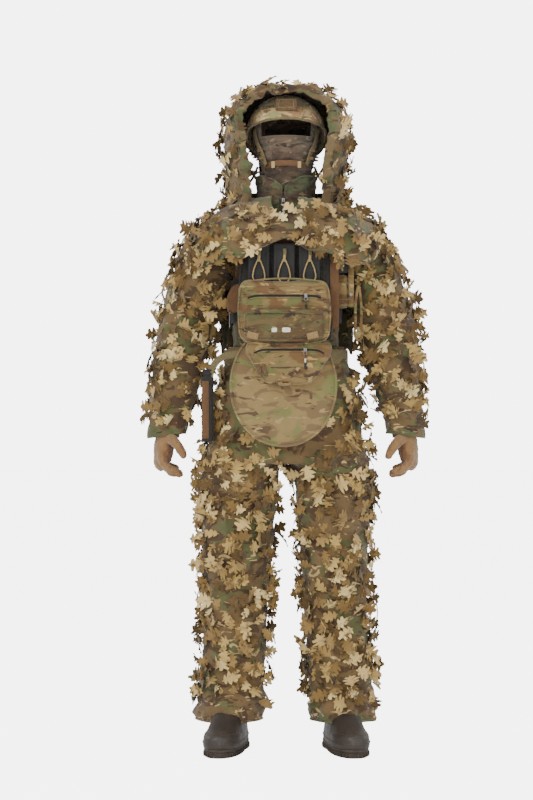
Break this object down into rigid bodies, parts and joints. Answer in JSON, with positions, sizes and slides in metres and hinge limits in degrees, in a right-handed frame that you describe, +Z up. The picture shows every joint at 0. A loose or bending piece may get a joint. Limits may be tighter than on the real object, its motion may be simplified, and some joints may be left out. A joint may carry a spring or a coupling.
{
  "type": "ghillie suit",
  "caption": "Hooded leaf-covered camouflage suit with helmet, mask, plate rig, pouches, gloves and boots, standing empty on its soles.",
  "frame": {"origin": "on the floor under the middle of the suit", "axes": "+Z up, the suit's front faces -Y, the wearer's left is +X"},
  "size_m": [0.7652, 0.4006, 1.832],
  "materials": {
    "leaf_cloth": "matt printed cloth under laser-cut leaf strips",
    "camo_cloth": "matt multi-terrain print, ripstop",
    "dark_webbing": "matt dark nylon",
    "mask_knit": "mottled stretch knit",
    "tan_webbing": "woven webbing",
    "suede": "brushed suede",
    "boot_leather": "worn oiled leather",
    "sole_rubber": "matt",
    "black_polymer": "fine grained",
    "elastic_cord": "braided elastic",
    "steel": "satin"
  },
  "bodies": {
    "trunk": {"trousers": "leaf_cloth", "belt": "camo_cloth", "belt_buckle": "black_polymer", "shirt": "camo_cloth", "collar": "camo_cloth", "balaclava": "mask_knit", "helmet_shell": "camo_cloth", "helmet_liner": "dark_webbing", "helmet_mount": "black_polymer", "chin_strap_right": "dark_webbing", "chin_strap_left": "dark_webbing", "chin_cup": "tan_webbing", "cape_yoke": "leaf_cloth", "cape_back": "leaf_cloth", "plate_bag_front": "dark_webbing", "plate_bag_back": "dark_webbing", "cummerbund_right": "dark_webbing", "cummerbund_left": "dark_webbing", "rig_strap_right": "dark_webbing", "rig_strap_left": "dark_webbing", "magazine_panel": "dark_webbing", "bungee_loop_1": "tan_webbing", "bungee_loop_2": "tan_webbing", "bungee_loop_3": "tan_webbing", "main_pouch": "camo_cloth", "front_pocket": "camo_cloth", "retention_strap": "tan_webbing", "tourniquet_pouch": "camo_cloth", "snap_strap": "camo_cloth", "hanging_strap": "camo_cloth", "carabiner_tab": "tan_webbing", "carabiner_body": "steel", "sheath": "boot_leather"},
    "hood": {"hood": "leaf_cloth", "hood_brim": "camo_cloth"},
    "flap": {"groin_flap": "camo_cloth", "dangler_pouch": "camo_cloth"},
    "dangler_zip": {"dangler_zip_slider": "steel"},
    "pouch_zip": {"main_pouch_zip_slider": "steel"},
    "collar_zip": {"collar_zip_slider": "steel"},
    "gate": {"carabiner_gate": "steel"},
    "tool": {"tool": "black_polymer"},
    "magazine_1": {"magazine_1": "black_polymer"},
    "magazine_2": {"magazine_2": "black_polymer"},
    "magazine_3": {"magazine_3": "black_polymer"},
    "upper_arm_right": {"upper_sleeve_right": "leaf_cloth"},
    "forearm_right": {"forearm_sleeve_right": "leaf_cloth"},
    "hand_right": {"glove_right": "suede"},
    "leg_right": {"shin_right": "leaf_cloth", "boot_upper_right": "boot_leather", "boot_sole_right": "sole_rubber", "leaf_cord_right": "elastic_cord"},
    "upper_arm_left": {"upper_sleeve_left": "leaf_cloth"},
    "forearm_left": {"forearm_sleeve_left": "leaf_cloth"},
    "hand_left": {"glove_left": "suede"},
    "leg_left": {"shin_left": "leaf_cloth", "boot_upper_left": "boot_leather", "boot_sole_left": "sole_rubber", "leaf_cord_left": "elastic_cord"}
  },
  "joints": [
    {"name": "hood_fold", "type": "hinge", "parent": "trunk", "child": "hood", "pos_m": [0, 0.178, 1.484], "axis": [-1, 0, 0], "range_deg": [0, 80]},
    {"name": "flap_swing", "type": "hinge", "parent": "trunk", "child": "flap", "pos_m": [0, -0.1802, 1.1206], "axis": [-1, 0, 0], "range_deg": [0, 60]},
    {"name": "dangler_zip_slide", "type": "slide", "parent": "flap", "child": "dangler_zip", "axis": [-1, 0, 0], "range_m": [-0.03, 0.115]},
    {"name": "pouch_zip_slide", "type": "slide", "parent": "trunk", "child": "pouch_zip", "axis": [-1, 0, 0], "range_m": [-0.03, 0.145]},
    {"name": "collar_zip_slide", "type": "slide", "parent": "trunk", "child": "collar_zip", "axis": [0, -0.259, 0.9659], "range_m": [0, 0.04]},
    {"name": "gate_swing", "type": "hinge", "parent": "trunk", "child": "gate", "pos_m": [-0.155, -0.073, 1.1765], "axis": [-1, 0, 0], "range_deg": [0, 25], "stiffness_Nm_per_rad": 0.05, "springref_deg": -5.73},
    {"name": "tool_draw", "type": "slide", "parent": "trunk", "child": "tool", "axis": [0, 0, 1], "range_m": [0, 0.17]},
    {"name": "magazine_1_draw", "type": "slide", "parent": "trunk", "child": "magazine_1", "axis": [0, 0, 1], "range_m": [0, 0.048]},
    {"name": "magazine_2_draw", "type": "slide", "parent": "trunk", "child": "magazine_2", "axis": [0, 0, 1], "range_m": [0, 0.048]},
    {"name": "magazine_3_draw", "type": "slide", "parent": "trunk", "child": "magazine_3", "axis": [0, 0, 1], "range_m": [0, 0.048]},
    {"name": "shoulder_lift_right", "type": "hinge", "parent": "trunk", "child": "upper_arm_right", "pos_m": [-0.196, 0.03, 1.44], "axis": [0, 1, 0], "range_deg": [0, 50]},
    {"name": "elbow_bend_right", "type": "hinge", "parent": "upper_arm_right", "child": "forearm_right", "pos_m": [-0.2832, 0.03, 1.1634], "axis": [-1, 0, 0], "range_deg": [0, 70]},
    {"name": "glove_pull_right", "type": "slide", "parent": "forearm_right", "child": "hand_right", "axis": [-0.1736, 0, -0.9848], "range_m": [0, 0.12]},
    {"name": "knee_bend_right", "type": "hinge", "parent": "trunk", "child": "leg_right", "pos_m": [-0.135, 0.03, 0.505], "axis": [1, 0, 0], "range_deg": [0, 60]},
    {"name": "shoulder_lift_left", "type": "hinge", "parent": "trunk", "child": "upper_arm_left", "pos_m": [0.196, 0.03, 1.44], "axis": [0, -1, 0], "range_deg": [0, 50]},
    {"name": "elbow_bend_left", "type": "hinge", "parent": "upper_arm_left", "child": "forearm_left", "pos_m": [0.2832, 0.03, 1.1634], "axis": [-1, 0, 0], "range_deg": [0, 70]},
    {"name": "glove_pull_left", "type": "slide", "parent": "forearm_left", "child": "hand_left", "axis": [0.1736, 0, -0.9848], "range_m": [0, 0.12]},
    {"name": "knee_bend_left", "type": "hinge", "parent": "trunk", "child": "leg_left", "pos_m": [0.135, 0.03, 0.505], "axis": [1, 0, 0], "range_deg": [0, 60]}
  ]
}
